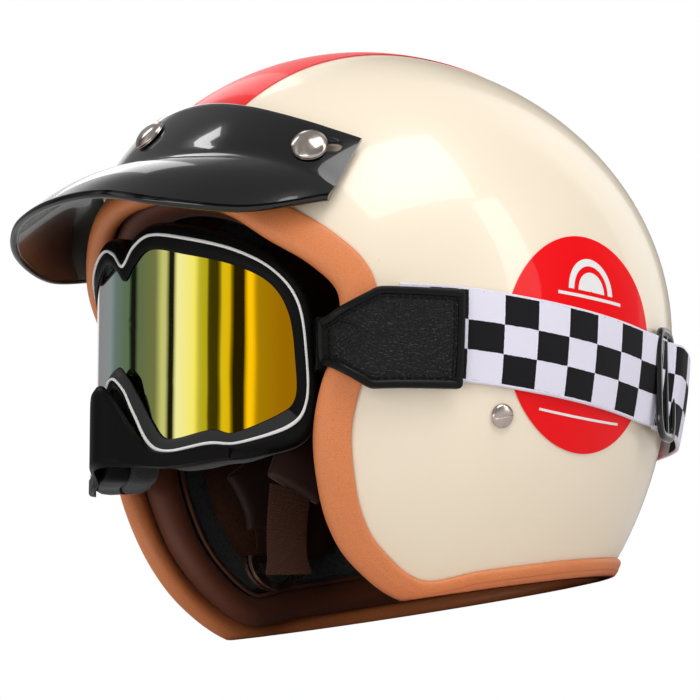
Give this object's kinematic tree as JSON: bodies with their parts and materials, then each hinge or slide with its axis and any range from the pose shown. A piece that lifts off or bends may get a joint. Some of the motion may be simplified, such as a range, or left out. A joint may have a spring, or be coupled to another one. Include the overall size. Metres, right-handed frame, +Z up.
{
  "type": "open face motorcycle helmet",
  "caption": "Open face motorcycle helmet with a press-stud peak, strap-on goggles with a mirror lens, leather edge trim and a double D-ring chin strap.",
  "frame": {"origin": "on the surface that the flat rim rests on, straight under the centre of the dome", "axes": "+Z up with the helmet standing on its rim, -Y to the front of the helmet, +X to the wearer's left"},
  "size_m": [0.2482, 0.3046, 0.256],
  "materials": {
    "shell_cream": "gloss lacquer",
    "liner_foam": "matt expanded foam",
    "plush_brown": "brushed plush",
    "leather_tan": "satin leather",
    "leather_brown": "soft matt leather",
    "nickel": "brushed nickel",
    "steel": "zinc plated",
    "webbing_brown": "ribbed webbing",
    "decal_red": "gloss film under lacquer",
    "gloss_black": "high gloss",
    "frame_black": "satin moulding",
    "lens_mirror": "coloured mirror coating",
    "piping_white": "painted line",
    "foam_black": "soft open foam",
    "leather_black": "pebbled leather",
    "strap_check": "woven elastic, black and white checks"
  },
  "bodies": {
    "root": {"outer_shell": "shell_cream", "eps_liner": "liner_foam", "crown_liner": "plush_brown", "brow_pad": "plush_brown", "cheek_pad_left": "plush_brown", "cheek_pad_right": "plush_brown", "neck_roll": "plush_brown", "edge_trim": "leather_tan", "edge_roll": "leather_brown", "snap_studs": "nickel", "chin_screws": "nickel", "anchor_plates": "steel", "strap_roots": "webbing_brown", "crown_stripe": "decal_red", "side_decals": "decal_red", "strap_side_left": "strap_check", "strap_side_right": "strap_check", "strap_back": "strap_check", "keeper_base": "leather_black"},
    "peak": {"peak": "gloss_black", "snap_caps": "nickel"},
    "goggles": {"goggle_frame": "frame_black", "goggle_lens": "lens_mirror", "frame_piping": "piping_white", "face_foam": "foam_black", "nose_guard": "frame_black", "strap_tab_left": "leather_black", "strap_tab_right": "leather_black", "outriggers": "frame_black"},
    "slider_left": {"slider_left": "gloss_black"},
    "slider_right": {"slider_right": "gloss_black"},
    "keeper": {"keeper_flap": "leather_black", "keeper_snap": "nickel"},
    "chin_left": {"chin_sleeve_left": "leather_brown", "chin_web_left": "webbing_brown"},
    "chin_right": {"chin_sleeve_right": "leather_brown", "chin_web_right": "webbing_brown"},
    "d_rings": {"d_rings": "nickel"}
  },
  "joints": [
    {"name": "peak_off", "type": "slide", "parent": "root", "child": "peak", "axis": [0, -0.6363, 0.7714], "range_m": [0, 0.06]},
    {"name": "goggles_pull", "type": "slide", "parent": "root", "child": "goggles", "axis": [0, -0.9825, 0.1865], "range_m": [0, 0.03], "stiffness_N_per_m": 200},
    {"name": "slider_left_shift", "type": "hinge", "parent": "root", "child": "slider_left", "pos_m": [-0.024, 0.0055, 0.08856], "axis": [0, 0.1865, 0.9825], "range_deg": [-4, 4]},
    {"name": "slider_right_shift", "type": "hinge", "parent": "root", "child": "slider_right", "pos_m": [0.024, 0.0055, 0.08856], "axis": [0, -0.1865, -0.9825], "range_deg": [-4, 4]},
    {"name": "keeper_open", "type": "hinge", "parent": "root", "child": "keeper", "pos_m": [0, 0.14754, 0.09416], "axis": [1, 0, 0], "range_deg": [0, 95]},
    {"name": "chin_left_swing", "type": "hinge", "parent": "root", "child": "chin_left", "pos_m": [0.053, -0.05059, 0.08801], "axis": [0, 0.9825, -0.1865], "range_deg": [0, 35]},
    {"name": "chin_right_swing", "type": "hinge", "parent": "root", "child": "chin_right", "pos_m": [-0.049, -0.04544, 0.08296], "axis": [0, -0.9825, 0.1865], "range_deg": [0, 35]},
    {"name": "d_ring_swing", "type": "hinge", "parent": "chin_right", "child": "d_rings", "pos_m": [-0.0468, -0.03966, 0.03301], "axis": [0, 0.9825, -0.1865], "range_deg": [-25, 0]}
  ]
}
